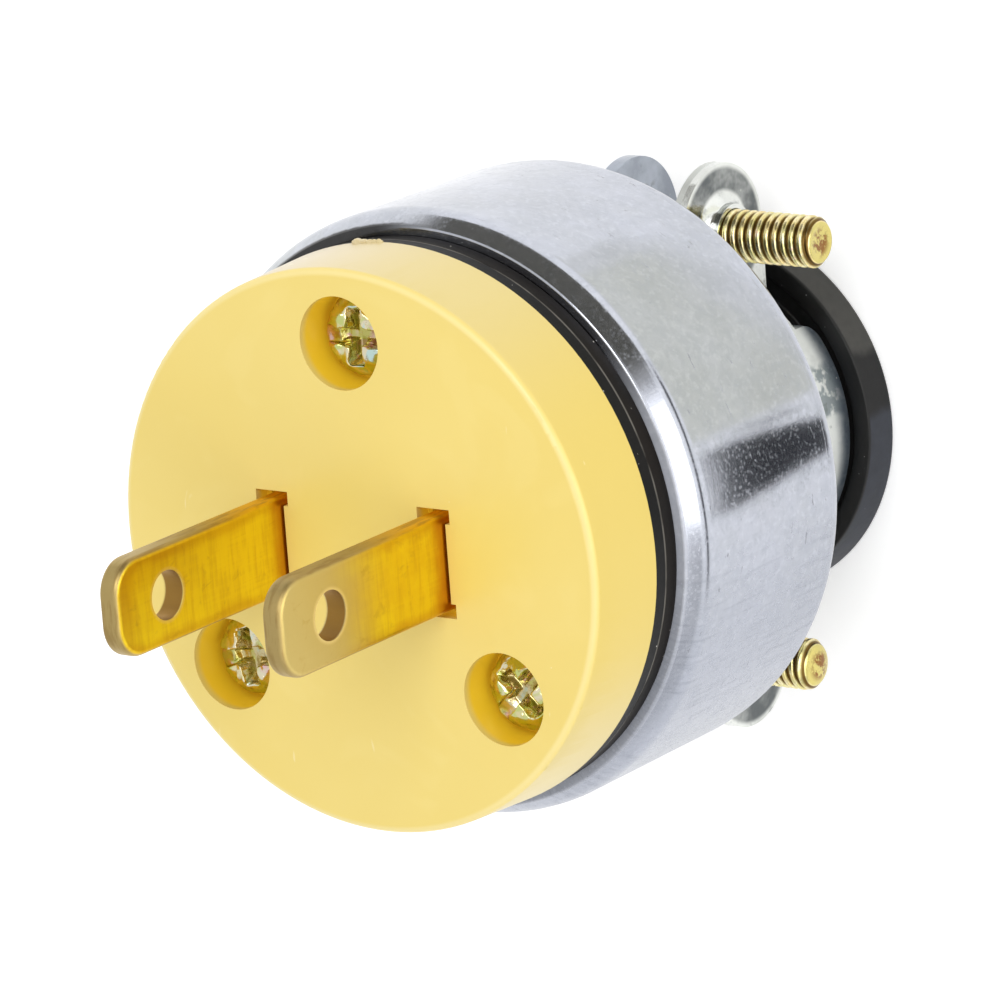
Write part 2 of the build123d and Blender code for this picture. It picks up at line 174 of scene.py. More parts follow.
# Studio: pale floor, soft lights, and cards that only reflections see
studio = {
    "worldStrength": 0.92,
    "floorColour": rgb(252, 252, 252),
    "floorSize": 3.0,
    "aim": (0, 0, 0.03),
    "lights": [                         # name, right, up and back from the aim in metres, size, watts
        ("key", -0.16, 0.20, 0.75, 0.40, 1.9),
        ("low", 0.25, -0.45, 0.60, 0.50, 0.8),
    ],
    "tones": {"bandDark": rgb(44, 45, 50), "wallDark": rgb(104, 102, 94),
              "warmGrey": rgb(252, 252, 240), "warmPale": rgb(254, 254, 250),
              "creaseDark": rgb(70, 70, 74), "glow": rgb(255, 255, 255)},
    "glowStrength": 2.2,
    "floorCards": [                     # tone, height, corners in millimetres
        ("warmPale", 0.4, [(28.5, 8.4), (45, 11.5), (54, 13), (54, 52), (7, 58), (7, 38), (18, 29.5),
                           (24.5, 21), (26.5, 13)]),
        ("warmGrey", 0.5, [(30, 8.6), (45, 11.5), (52, 13), (52, 40), (14, 50), (12, 36), (23, 29),
                           (27.5, 20), (29.5, 13)]),
        ("bandDark", 0.8, [(30, 4.2), (33, 5.1), (35, 6.0), (37.2, 6.5), (38.2, 7.5), (38.6, 6.7),
                           (39.6, 8.2), (40.2, 7.0), (41.5, 8.5), (42.1, 7.2), (43.3, 8.4), (44.5, 8.0),
                           (44.5, -6.4), (40.8, -4.7), (38.2, -3.5), (35.5, -2.3), (33.3, -1.2), (30, 0)]),
        ("bandDark", 0.8, [(33.2, 7.2), (36.1, 7.9), (39.2, 9.0), (41.2, 9.7), (39.0, 9.4), (36.1, 8.5),
                           (33.2, 7.6)]),
    ],
    "ringCards": [                      # tone, height, inner and outer radius in millimetres, from, to
        ("creaseDark", 0.6, 80, 112, -34, 45),
    ],
    "wallCards": [                      # tone, radius, low and high in millimetres, from, to
        ("wallDark", 150, 1, 105, 32, 126),
        ("glow", 190, 20, 190, -14, 36),
    ],
    "floorGlow": 0.27,
    "cardFade": 14,                     # degrees
    "cardSteps": 24,
    "paperRough": 0.9,
    "paperMottle": 0.985,
}


def paper(name, colour, glow=0.0, ends=None):
    kit = Finish(name)
    mottle = kit.noise(3.0, 2)
    shade = kit.blend(mottle, colour, tuple(c * studio["paperMottle"] for c in colour[:3]) + (1.0,))
    more = {}
    if ends:                            # a curved card fades out towards its two ends
        start, stop = (radians(a) for a in ends)
        fade = min(radians(studio["cardFade"]), (stop - start) / 2)
        around = kit.y.maths("ARCTAN2", kit.x)
        more["Alpha"] = around.ramp(start, start + fade) * (1 - around.ramp(stop - fade, stop))
    return kit.finish(Base_Color=shade, Roughness=studio["paperRough"], Emission_Color=colour,
                      Emission_Strength=glow, **more)


def arcPoints(radius, height, start, stop):
    steps = studio["cardSteps"]
    turns = [radians(start + (stop - start) * k / steps) for k in range(steps + 1)]
    return [(radius * cos(a), radius * sin(a), height) for a in turns]


def addCard(name, lines, finish):       # a strip between two lines of points, or one flat outline
    if len(lines) == 1:
        points, faces = lines[0], [tuple(range(len(lines[0])))]
    else:
        count = len(lines[0])
        points = lines[0] + lines[1]
        faces = [(k, k + 1, count + k + 1, count + k) for k in range(count - 1)]
    mesh = bpy.data.meshes.new(name)
    mesh.from_pydata([tuple(c * mm for c in p) for p in points], [], faces)
    mesh.materials.append(finish)
    card = linked(mesh, name)
    card.visible_camera = card.visible_diffuse = card.visible_shadow = False


def cardFinish(name, tone, ends=None):
    glow = studio["glowStrength"] if tone == "glow" else 0.0
    return paper(name + "Paper", studio["tones"][tone], glow, ends)


def buildCards():
    for k, (tone, z, corners) in enumerate(studio["floorCards"]):
        addCard(f"floorCard{k}", [[(x, y, z) for x, y in corners]], cardFinish(f"floorCard{k}", tone))
    for k, (tone, z, inner, outer, start, stop) in enumerate(studio["ringCards"]):
        addCard(f"ringCard{k}", [arcPoints(inner, z, start, stop), arcPoints(outer, z, start, stop)],
                cardFinish(f"ringCard{k}", tone, (start, stop)))
    for k, (tone, radius, foot, top, start, stop) in enumerate(studio["wallCards"]):
        addCard(f"wallCard{k}", [arcPoints(radius, foot, start, stop), arcPoints(radius, top, start, stop)],
                cardFinish(f"wallCard{k}", tone, (start, stop)))


def buildStudio():
    world = bpy.data.worlds.new("studio")
    world.use_nodes = True
    sky = world.node_tree.nodes["Background"]
    sky.inputs["Color"].default_value = (1, 1, 1, 1)
    sky.inputs["Strength"].default_value = studio["worldStrength"]
    bpy.context.scene.world = world
    middle = Vector(studio["aim"])
    for name, toRight, toUp, toBack, size, watts in studio["lights"]:
        lamp = bpy.data.lights.new(name, "AREA")
        lamp.shape = "SQUARE"
        lamp.size = size
        lamp.energy = watts
        holder = bpy.data.objects.new(name, lamp)
        holder.location = middle + right * toRight + up * toUp + back * toBack
        holder.rotation_euler = (middle - holder.location).to_track_quat("-Z", "Y").to_euler()
        bpy.context.collection.objects.link(holder)
    half = studio["floorSize"] / 2
    floor = flatMesh("floor", [(-half, -half, 0), (half, -half, 0), (half, half, 0), (-half, half, 0)])
    floor.data.materials.append(paper("paleFloor", studio["floorColour"], studio["floorGlow"]))
    buildCards()
    bpy.context.scene.view_settings.view_transform = "Standard"


def linked(mesh, name):
    made = bpy.data.objects.new(name, mesh)
    bpy.context.collection.objects.link(made)
    return made


def flatMesh(name, points):
    mesh = bpy.data.meshes.new(name)
    mesh.from_pydata(points, [], [tuple(range(len(points)))])
    return linked(mesh, name)


buildStudio()
print("stage: studio built")


# Finishes of the plug's materials. Sizes are millimetres in the frame, and a pair is a ramp's start and end
coverFinish = {
    "face": 43.2, "recess": (0.1, 0.8), "flat": (17.4, 17.7),
    "edge": 18.25, "highlightWide": (0.02, 0.30), "highlightDepth": 0.8,
    "side": (18.1, 18.4), "sideTop": (42.7, 43.0),
    "sheenUp": (8, 19), "sheenRight": (-10, 8), "litRight": (8, 18), "litUp": (-14, -4),
    "tones": {
        "body": rgb(226, 202, 112), "cloud": rgb(228, 205, 118), "swirl": rgb(231, 210, 128),
        "side": rgb(208, 188, 116), "sideLit": rgb(211, 186, 90), "sideSheen": rgb(206, 192, 172),
        "recess": rgb(226, 192, 46), "edge": rgb(240, 226, 170), "speck": rgb(244, 234, 196),
        "none": rgb(0, 0, 0), "through": rgb(100, 76, 6),
    },
}


def yellowMoulding(s):
    kit = Finish("yellowMoulding")
    tones = s["tones"]
    cloud = kit.noise(85, 3)
    fine = kit.noise(900, 3)
    swirl = kit.noise(160, 2, distortion=1.2)
    speck = (1 - kit.cells(1150).ramp(0.03, 0.07)) * kit.noise(310, 2).above(0.68)
    scuff = kit.noise(1.0, 2, 0.5, kit.stretched(900, 260, 900), 0.6).ramp(0.70, 0.74)
    scuff = scuff * kit.noise(140, 1).above(0.58)
    outward = (kit.x ** 2 + kit.y ** 2).root()
    # painted bounce light: the counterbores and slot walls deeper amber than the moulding
    recess = (s["face"] * mm - kit.z).between(s["recess"]) * (1 - outward.between(s["flat"]))
    # painted highlight: a pale line along the face's rounded edge, where the edge round catches the light
    edge = 1 - (outward - s["edge"] * mm).size().between(s["highlightWide"])
    edge = edge * kit.z.above((s["face"] - s["highlightDepth"]) * mm)
    # painted shade: the side wall darker than the face, with a painted lit patch towards the lower right
    side = outward.between(s["side"]) * (1 - kit.z.between(s["sideTop"]))
    # painted sheen: a pale grey patch on the side wall towards the upper left
    paintedSheen = kit.y.between(s["sheenUp"]) * (1 - kit.x.between(s["sheenRight"])) * 0.8
    lit = kit.x.between(s["litRight"]) * kit.y.between(s["litUp"])
    colour = kit.blend(cloud.ramp(0.3, 0.75), tones["body"], tones["cloud"])
    colour = kit.blend(swirl.ramp(0.52, 0.70) * 0.25, colour, tones["swirl"])
    colour = kit.blend(side, colour, kit.blend(lit, tones["side"], tones["sideLit"]))
    colour = kit.blend(side * paintedSheen, colour, tones["sideSheen"])
    colour = kit.blend(recess, colour, tones["recess"])
    # the painted highlight along the face's edge
    colour = kit.blend(edge * 0.40, colour, tones["edge"])
    colour = kit.blend(speck * 0.5 + scuff * 0.3, colour, tones["speck"])
    relief = kit.bump(fine * 0.35 + cloud * 0.8 + speck * 0.4, 0.10, 0.3 * mm)
    through = kit.blend(recess, tones["none"], tones["through"])        # light that the moulding lets through
    return kit.finish(Base_Color=colour, Roughness=cloud * 0.08 + 0.28, Normal=relief, IOR=1.49,
                      Emission_Color=through, Emission_Strength=1.0)


bladeFinish = {
    "centre": 6.35, "thinSide": (0.62, 0.74), "foot": (42.8, 44.6), "footRagged": 1.2, "dull": (47.5, 56.5),
    "rimSide": (1.8, 3.1), "rimTip": (57.2, 60.0), "edgeAway": (44.5, 52.5),
    "hole": 55.4, "holeRadius": 1.6, "holeRim": (0.0, 0.3), "holeWallShade": (0.04, 0.12),
    "tones": {
        "body": rgb(238, 214, 40), "stain": rgb(228, 196, 34), "leftInnerLight": rgb(248, 224, 44),
        "leftOuterShade": rgb(220, 190, 76), "brushed": rgb(200, 160, 30), "rim": rgb(196, 142, 26),
        "dull": rgb(196, 174, 106), "spots": rgb(168, 128, 46), "foot": rgb(190, 118, 10),
        "holeRim": rgb(236, 214, 150), "holeWallShade": rgb(158, 122, 62), "punched": rgb(146, 118, 68),
        "edgeFoot": rgb(236, 188, 26), "edgeTip": rgb(176, 154, 100),
    },
}


def bladeBrass(s):
    kit = Finish("bladeBrass")
    tones = s["tones"]
    along = kit.noise(1.0, 4, 0.6, kit.stretched(500, 4200, 160))
    cross = kit.noise(1.0, 3, 0.6, kit.stretched(500, 260, 2600))
    punched = kit.noise(1.0, 3, 0.6, kit.stretched(2800, 420, 420))
    stain = kit.noise(240, 4, 0.6)
    spots = kit.noise(760, 3, 0.65, distortion=0.6)
    rightBlade = kit.x.above(0.0)
    # painted light and shade: the left blade's inner side brighter and its outer side duller than the brass
    leftOuterShade = 1 - kit.x.above(-s["centre"] * mm)
    thin = 1 - (kit.x.size() - s["centre"] * mm).size().between(s["thinSide"])
    dull = kit.z.between(s["dull"]) * (rightBlade * 0.75 + 0.10)
    rim = kit.y.size().between(s["rimSide"]) + kit.z.between(s["rimTip"])
    foot = 1 - (kit.z - stain * (s["footRagged"] * mm)).between(s["foot"])
    fromHole = ((kit.z - s["hole"] * mm) ** 2 + kit.y ** 2).root() - s["holeRadius"] * mm
    colour = kit.blend(stain.ramp(0.36, 0.70), tones["body"], tones["stain"])
    colour = kit.blend((1 - rightBlade) * (1 - leftOuterShade) * 0.65, colour, tones["leftInnerLight"])
    colour = kit.blend(leftOuterShade * 0.6, colour, tones["leftOuterShade"])
    colour = kit.blend((along * 0.3 + cross).ramp(0.56, 0.86) * 0.35, colour, tones["brushed"])
    colour = kit.blend((rim * 0.7 + stain - 0.5).ramp(0.1, 0.7) * 0.45, colour, tones["rim"])
    colour = kit.blend((dull + stain * 0.25 - 0.12).ramp(0.0, 0.9), colour, tones["dull"])
    colour = kit.blend(spots.ramp(0.58, 0.72) * 0.25, colour, tones["spots"])
    colour = kit.blend(foot * 0.8, colour, tones["foot"])
    colour = kit.blend((1 - fromHole.size().between(s["holeRim"])) * 0.6, colour, tones["holeRim"])
    thinTone = kit.blend(kit.z.between(s["edgeAway"]), tones["edgeFoot"], tones["edgeTip"])
    thinTone = kit.blend(punched.ramp(0.45, 0.65) * 0.5, thinTone, tones["punched"])
    # painted shade inside the blade's hole
    thinTone = kit.blend(1 - fromHole.between(s["holeWallShade"]), thinTone, tones["holeWallShade"])
    colour = kit.blend(thin, colour, thinTone)
    rough = along * 0.12 + cross * 0.06 + 0.20 + thin * 0.12 + dull * 0.10 + spots * 0.06
    relief = kit.bump(along * 0.4 + cross + stain * 0.3 + punched * thin, 0.14, 0.08 * mm)
    return kit.finish(Base_Color=colour, Metallic=1.0, Roughness=rough, Normal=relief)


coverScrewFinish = {
    "from": 39.0, "top": 41.4, "sunk": (0.0, 0.8),
    "tones": {
        "body": rgb(226, 214, 170), "green": rgb(200, 208, 132), "pink": rgb(226, 186, 190),
        "pale": rgb(226, 218, 188), "blue": rgb(196, 220, 214), "sunk": rgb(168, 146, 60),
        "tarnish": rgb(150, 112, 54),
    },
}


def yellowZinc(s):
    kit = Finish("yellowZinc")
    tones = s["tones"]
    film = kit.noise(560, 3, 0.6)
    patch = kit.noise(330, 2, distortion=1.5)
    tarnish = kit.noise(900, 4, 0.7)
    sunk = kit.z.above(s["from"] * mm) * (s["top"] * mm - kit.z).between(s["sunk"])     # slots and crosses
    colour = kit.blend(film.ramp(0.36, 0.48), tones["body"], tones["green"])
    colour = kit.blend(film.ramp(0.54, 0.62), colour, tones["pink"])
    colour = kit.blend(patch.ramp(0.46, 0.56), colour, tones["pale"])
    colour = kit.blend(patch.ramp(0.60, 0.68), colour, tones["blue"])
    colour = kit.blend(sunk * 0.5, colour, tones["sunk"])
    colour = kit.blend(tarnish.ramp(0.54, 0.66) * 0.6, colour, tones["tarnish"])
    rough = kit.noise(1500, 2) * 0.12 + 0.10
    relief = kit.bump(kit.noise(2600, 3) * 0.6 + tarnish + film * 0.8, 0.25, 0.12 * mm)
    return kit.finish(Base_Color=colour, Metallic=1.0, Roughness=rough, Normal=relief)


clampAxes = {"height": 9.1, "drop": 1.1, "apart": 14.55}


def fromClampAxis(kit):                 # distance from the nearer clamp screw's axis
    across = (kit.y + clampAxes["drop"] * mm).size() - clampAxes["apart"] * mm
    return (across ** 2 + (kit.z - clampAxes["height"] * mm) ** 2).root()


threadFinish = {                        # distances from the screw's axis
    "crest": (1.52, 1.70), "grooveShade": (1.40, 1.44), "face": (1.32, 1.40), "crater": (0.6, 1.2),
    "tones": {
        "body": rgb(226, 206, 146), "green": rgb(212, 204, 140), "pink": rgb(228, 190, 168),
        "grooveShade": rgb(108, 84, 42), "face": rgb(206, 192, 116), "crater": rgb(140, 98, 56),
        "crest": rgb(240, 230, 196),
    },
}


def goldenZinc(s):                      # the clamp screws' threads
    kit = Finish("goldenZinc")
    tones = s["tones"]
    film = kit.noise(480, 3, 0.6)
    wear = kit.noise(1400, 4, 0.7)
    away = fromClampAxis(kit)
    # painted shade in the thread's grooves; the pale crests are worn metal with a painted highlight
    crest = away.between(s["crest"])
    grooveShade = (1 - crest) * away.between(s["grooveShade"])
    face = 1 - away.between(s["face"])
    crater = (1 - away.between(s["crater"])) * wear.ramp(0.42, 0.54)
    colour = kit.blend(film.ramp(0.40, 0.58), tones["body"], tones["green"])
    colour = kit.blend(film.ramp(0.60, 0.68), colour, tones["pink"])
    colour = kit.blend(grooveShade, colour, tones["grooveShade"])
    colour = kit.blend(face, colour, tones["face"])
    colour = kit.blend(face * crater, colour, tones["crater"])
    colour = kit.blend(crest * wear.ramp(0.46, 0.60) * 0.6, colour, tones["crest"])
    rough = wear * 0.14 + 0.18 + grooveShade * 0.15
    relief = kit.bump(kit.noise(2600, 3) + wear * 0.6 - crater * face * 2, 0.2, 0.1 * mm)
    return kit.finish(Base_Color=colour, Metallic=1.0, Roughness=rough, Normal=relief)


bandFinish = {"seamHighlight": 35.75, "seamHighlightWide": (0.03, 0.12),
              "tones": {"seamHighlight": rgb(128, 124, 116), "dust": rgb(206, 202, 194)}}


def blackMoulding(name, s, tone, gloss, warmth=0):
    kit = Finish(name)
    tones = s["tones"]
    fine = kit.noise(1400, 3)
    grain = kit.noise(260, 4, 0.6)
    dust = (1 - kit.cells(1500).ramp(0.04, 0.10)) * kit.noise(420, 2).above(0.55)
    # painted highlight: a pale line along the seam between the carrier and the ring
    seamHighlight = 1 - (kit.z - s["seamHighlight"] * mm).size().between(s["seamHighlightWide"])
    grey = rgb(tone + 12 + warmth, tone + 10 + warmth / 2, tone + 9)
    colour = kit.blend(grain, rgb(tone, tone, tone), grey)
    colour = kit.blend(seamHighlight * kit.noise(320, 3).ramp(0.30, 0.60) * 0.6, colour, tones["seamHighlight"])
    colour = kit.blend(dust, colour, tones["dust"])
    relief = kit.bump(fine + grain * 0.5, 0.22, 0.1 * mm)
    return kit.finish(Base_Color=colour, Roughness=grain * 0.14 + fine * 0.10 + gloss, Normal=relief,
                      Specular_IOR_Level=0.11)


grommetFinish = {
    "rim": (1.95, 2.1), "ragged": 1.6,
    "sheenTo": 0.4, "sheenSoft": (-0.8, 0.0), "upperSheenFrom": 3.6, "upperSheenSoft": (0.0, 0.8),
    "tones": {
        "body": rgb(14, 14, 15), "grain": rgb(22, 21, 20), "upperSheen": rgb(62, 61, 57),
        "paintedSheen": rgb(48, 51, 59), "dust": rgb(150, 150, 150),
    },
}


def grommetBlack(s):
    kit = Finish("grommetBlack")
    tones = s["tones"]
    fine = kit.noise(1400, 3)
    grain = kit.noise(260, 4, 0.6)
    dust = (1 - kit.cells(1500).ramp(0.03, 0.09)) * kit.noise(420, 2).above(0.55)
    ragged = s["ragged"] * mm
    along = kit.y + grain * ragged - ragged / 2
    # painted reflections on the rim: an olive-grey sheen on the upper part and a bluish sheen on the lower
    # part
    upperSheen = (along - s["upperSheenFrom"] * mm).between(s["upperSheenSoft"])
    paintedSheen = 1 - (along - s["sheenTo"] * mm).between(s["sheenSoft"])
    rim = 1 - kit.z.between(s["rim"])
    colour = kit.blend(grain, tones["body"], tones["grain"])
    colour = kit.blend(rim * upperSheen * (0.7 + fine * 0.5), colour, tones["upperSheen"])
    colour = kit.blend(rim * paintedSheen * (0.6 + fine * 0.5), colour, tones["paintedSheen"])
    colour = kit.blend(dust * 0.8, colour, tones["dust"])
    relief = kit.bump(fine + grain * 0.5, 0.22, 0.1 * mm)
    return kit.finish(Base_Color=colour, Roughness=grain * 0.14 + fine * 0.10 + 0.28, Normal=relief,
                      Specular_IOR_Level=0.30)


shellFinish = {
    "radius": 20, "low": (-11, 4), "dullLip": (34.30, 34.36), "dullAcross": (0, 8), "lipShade": (34.05, 34.25),
    "darkAcross": (-15.5, -12), "darkRagged": 0.2, "greenRing": (28, 32.5), "greenRight": (-10, -4),
    "tones": {
        "body": rgb(184, 187, 197), "cloud": rgb(176, 179, 186), "haze": rgb(168, 170, 175),
        "mottle": rgb(161, 165, 174), "grain": rgb(200, 203, 211), "low": rgb(153, 157, 168),
        "streak": rgb(138, 142, 152), "pits": rgb(86, 86, 90), "green": rgb(150, 156, 146),
        "lipShade": rgb(40, 37, 32),
    },
}


def platedShell(s):
    kit = Finish("platedShell")
    tones = s["tones"]
    around = kit.y.maths("ARCTAN2", kit.x)
    wrap = kit.joined(around * (s["radius"] * mm), kit.z, 0.0)
    streak = kit.noise(1.0, 4, 0.6, kit.stretched(2600, 220, 1, wrap))
    cross = kit.noise(1.0, 3, 0.6, kit.stretched(300, 2400, 1, wrap))
    cloud = kit.noise(170, 4, 0.6)
    wave = kit.noise(230, 2, 0.4)
    haze = kit.noise(95, 3, 0.6)
    grain = kit.noise(2100, 4, 0.7)
    mottle = kit.noise(900, 3, 0.65, distortion=0.8)
    sparks = (1 - kit.cells(3400).ramp(0.15, 0.55)) * kit.noise(900, 2).ramp(0.35, 0.55)
    pits = (1 - kit.cells(950).ramp(0.02, 0.09)) * kit.noise(330, 2).above(0.60)
    nicks = kit.noise(1.0, 3, 0.5, kit.stretched(900, 3600, 1, wrap), 0.8).ramp(0.68, 0.72)
    nicks = nicks * kit.noise(120, 2).ramp(0.46, 0.54)
    # painted shade: the lower part darker, as the shaded floor reflects in it; the real streaks also lie
    # there
    low = 1 - kit.y.between(s["low"])
    across = kit.x * 0.7 - kit.y * 0.7          # towards the lower right
    dullLip = kit.z.between(s["dullLip"]) * across.between(s["dullAcross"])
    # painted shade: a dark ragged strip at the front of the lip towards the upper left, beside the ring
    lipShade = (kit.z - mottle * (s["darkRagged"] * mm)).between(s["lipShade"])
    lipShade = lipShade * (1 - across.between(s["darkAcross"]))
    # painted shade with a green-grey tint on the upper left of the body
    green = kit.z.between(s["greenRing"]) * (1 - kit.x.between(s["greenRight"]))
    green = green * kit.y.above(0.0) * cloud.ramp(0.4, 0.6)
    colour = kit.blend(cloud.ramp(0.3, 0.7), tones["body"], tones["cloud"])
    colour = kit.blend(haze.ramp(0.45, 0.7) * 0.5, colour, tones["haze"])
    colour = kit.blend(mottle.ramp(0.38, 0.64) * (low * 0.25 + 0.35), colour, tones["mottle"])
    colour = kit.blend(grain.ramp(0.50, 0.66) * (low * 0.2 + 0.35), colour, tones["grain"])
    colour = kit.blend(low * 0.7, colour, tones["low"])
    colour = kit.blend(streak.ramp(0.5, 0.72) * low * 0.6, colour, tones["streak"])
    colour = kit.blend(pits * 0.5 + nicks * 0.35, colour, tones["pits"])
    colour = kit.blend(green * 0.35, colour, tones["green"])
    colour = kit.blend(lipShade * 0.9, colour, tones["lipShade"])
    rough = streak * 0.05 + cross * 0.05 + cloud * 0.06 + low * 0.12 + nicks * 0.15 + sparks * 0.11 + 0.06
    relief = kit.bump(wave * 0.4 + mottle * 0.10 + streak * 0.07 + cross * 0.07 - pits * 0.25 - nicks * 0.2,
                      0.20, 0.18 * mm)
    return kit.finish(Base_Color=colour, Metallic=1 - dullLip * 0.85, Roughness=rough, Normal=relief)


sheetFinish = {                         # collar, ear, saddle and bare are distances from the clamp screw
    "collar": (2.75, 3.15), "ear": (4.25, 4.65), "saddle": (6.0, 7.5), "bare": (6.0, 7.0), "nearSide": 6.0,
    "inner": (5.0, 5.8), "rear": (3.6, 5.0), "stripeReflection": 1.9, "stripeWide": (1.4, 2.0), "ragged": 1.6,
    "tones": {
        "stripeReflection": rgb(112, 124, 128), "rear": rgb(96, 106, 116), "spots": rgb(108, 112, 110),
        "flecks": rgb(232, 232, 226),
    },
}


def zincSheet(name, s, pale, dark, spotted):
    kit = Finish(name)
    tones = s["tones"]
    ragged = s["ragged"] * mm
    spangle = kit.cells(420)
    cloud = kit.noise(240, 4, 0.65)
    spots = kit.noise(900, 3, 0.6)
    flecks = (1 - kit.cells(1300).ramp(0.05, 0.14)) * kit.noise(500, 2).above(0.52)
    away = fromClampAxis(kit)
    nearSide = kit.x.above(s["nearSide"] * mm)
    ear = away.between(s["collar"]) * (1 - away.between(s["ear"])) * nearSide
    rear = 1 - (kit.z + cloud * ragged).between(s["rear"])
    # painted reflection: a blue-grey stripe across the near clamp's bare saddle
    stripeReflection = (kit.y - s["stripeReflection"] * mm + cloud * ragged - ragged / 2).size().between(s["stripeWide"])
    stripeReflection = (1 - stripeReflection) * nearSide * away.between(s["bare"]) * spots.ramp(0.38, 0.52)
    colour = kit.blend(cloud.ramp(0.40, 0.66), rgb(*pale), rgb(*(c - 22 for c in pale)))
    colour = kit.blend(ear * spotted * (0.65 + cloud.ramp(0.35, 0.6) * 0.35), colour, rgb(*dark))
    colour = kit.blend(stripeReflection * spotted * 0.75, colour, tones["stripeReflection"])
    colour = kit.blend(rear * spotted * (0.7 + spots * 0.5), colour, tones["rear"])
    colour = kit.blend(spots.ramp(0.60, 0.72) * 0.45, colour, tones["spots"])
    colour = kit.blend(flecks * spotted * 0.7, colour, tones["flecks"])
    saddle = away.between(s["saddle"]) * spotted
    innerFrom, innerTo = s["inner"]
    inner = kit.x.above(innerFrom * mm) * (1 - kit.x.above(innerTo * mm))
    rough = cloud * 0.10 + spots * 0.08 + 0.10 + (saddle + inner).least(1.0) * 0.34
    relief = kit.bump(kit.noise(1900, 3) + spangle * 0.3, 0.16, 0.12 * mm)
    return kit.finish(Base_Color=colour, Metallic=1.0, Roughness=rough, Normal=relief)


finishes = {
    "yellow": yellowMoulding(coverFinish),
    "brass": bladeBrass(bladeFinish),
    "zinc": yellowZinc(coverScrewFinish),
    "thread": goldenZinc(threadFinish),
    "black": blackMoulding("blackMoulding", bandFinish, 7, 0.28),
    "fibre": blackMoulding("blackFibre", bandFinish, 10, 0.36, 8),
    "rubber": grommetBlack(grommetFinish),
    "shell": platedShell(shellFinish),
    # one zinc sheet, in a lighter copy for the near clamp and the ring and a darker, less spotted copy for
    # the far clamp: painted light and shade
    "sheet": zincSheet("zincSheet", sheetFinish, (222, 224, 220), (92, 96, 97), 1.0),
    "shadedPlainSheet": zincSheet("shadedPlainZincSheet", sheetFinish, (166, 172, 182), (140, 146, 154), 0.2),
}
print("stage: materials made")


# A piece that keeps the frame's shape, merged and smoothed, some with broken edges
meshRules = {"frameWeld": 0.002, "spunWeld": 0.0005, "flat": 0.5, "crease": 35, "spunCrease": 32,
             "edgeSegments": 3, "cornerSteps": 6, "around": 256, "headAround": 64}


def mergedCopy(node, finish):
    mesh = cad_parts[node].data.copy()
    mesh.materials.clear()
    mesh.materials.append(finishes[finish])
    work = bmesh.new()
    work.from_mesh(mesh)
    bmesh.ops.remove_doubles(work, verts=work.verts, dist=meshRules["frameWeld"] * mm)
    bmesh.ops.dissolve_limit(work, angle_limit=radians(meshRules["flat"]), verts=work.verts, edges=work.edges)
    for face in work.faces:
        face.smooth = True
        face.material_index = 0
    for rim in work.edges:
        if len(rim.link_faces) == 2:
            rim.smooth = rim.calc_face_angle(0) < radians(meshRules["crease"])
    work.to_mesh(mesh)
    work.free()
    return mesh


def refined(node, name, finish, edge):
    piece = linked(mergedCopy(node, finish), name)
    if edge:
        bevel = piece.modifiers.new("edge", "BEVEL")
        bevel.width = edge * mm
        bevel.segments = meshRules["edgeSegments"]
        bevel.limit_method = "ANGLE"
        bevel.angle_limit = radians(meshRules["crease"])
        bevel.harden_normals = False
    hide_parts(node)
    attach(piece, "root")
    return piece


# A rounded profile spun about an axis along Z
def rounded(points):                    # points are (radius, height, corner round) in millimetres
    outline = []
    count, steps = len(points), meshRules["cornerSteps"]
    for i, (r, z, corner) in enumerate(points):
        here = Vector((r, z))
        if not corner:
            outline.append(here)
            continue
        before = Vector(points[i - 1][:2]) - here
        after = Vector(points[(i + 1) % count][:2]) - here
        half = before.angle(after) / 2
        cut = corner / tan(half)
        start = here + before.normalized() * cut
        end = here + after.normalized() * cut
        centre = here + (before.normalized() + after.normalized()).normalized() * (corner / sin(half))
        a0 = atan2(start.y - centre.y, start.x - centre.x)
        a1 = atan2(end.y - centre.y, end.x - centre.x)
        sweep = (a1 - a0 + pi) % (2 * pi) - pi
        for k in range(steps + 1):
            a = a0 + sweep * k / steps
            outline.append(centre + Vector((cos(a), sin(a))) * corner)
    return outline


def spun(name, outline, closed, around, centre=(0, 0)):
    count = len(outline)
    corners, faces = [], []
    for k in range(around):
        a = 2 * pi * k / around
        for p in outline:
            corners.append(((centre[0] + p.x * cos(a)) * mm, (centre[1] + p.x * sin(a)) * mm, p.y * mm))
    for k in range(around):
        n = (k + 1) % around
        for i in range(count if closed else count - 1):
            j = (i + 1) % count
            faces.append((k * count + i, n * count + i, n * count + j, k * count + j))
    mesh = bpy.data.meshes.new(name)
    mesh.from_pydata(corners, [], faces)
    work = bmesh.new()
    work.from_mesh(mesh)
    bmesh.ops.remove_doubles(work, verts=work.verts, dist=meshRules["spunWeld"] * mm)
    bmesh.ops.recalc_face_normals(work, faces=work.faces)
    for face in work.faces:
        face.smooth = True
    for rim in work.edges:
        rim.smooth = rim.calc_face_angle(0) < radians(meshRules["spunCrease"])
    work.to_mesh(mesh)
    work.free()
    return mesh


def turned(name, finish, points, node, centre=(0, 0)):
    mesh = spun(name, rounded(points), True, meshRules["around"], centre)
    mesh.materials.append(finishes[finish])
    piece = linked(mesh, name)
    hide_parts(node)
    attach(piece, "root")


# Shell: one drawn sheet with a front lip, a sloped band, a straight body and a flanged neck
shellSizes = {"wall": 0.7, "front": (19.25, 34.5), "crease": (20.15, 33.15), "rear": (20.05, 17.3),
              "lip": 16.95, "neck": 7.2, "neckLip": 8.8, "neckRear": 12.7, "neckLipThick": 1.0,
              "line": 1.5, "lineWide": 0.08, "lineOut": 0.01, "lineIn": 0.02}


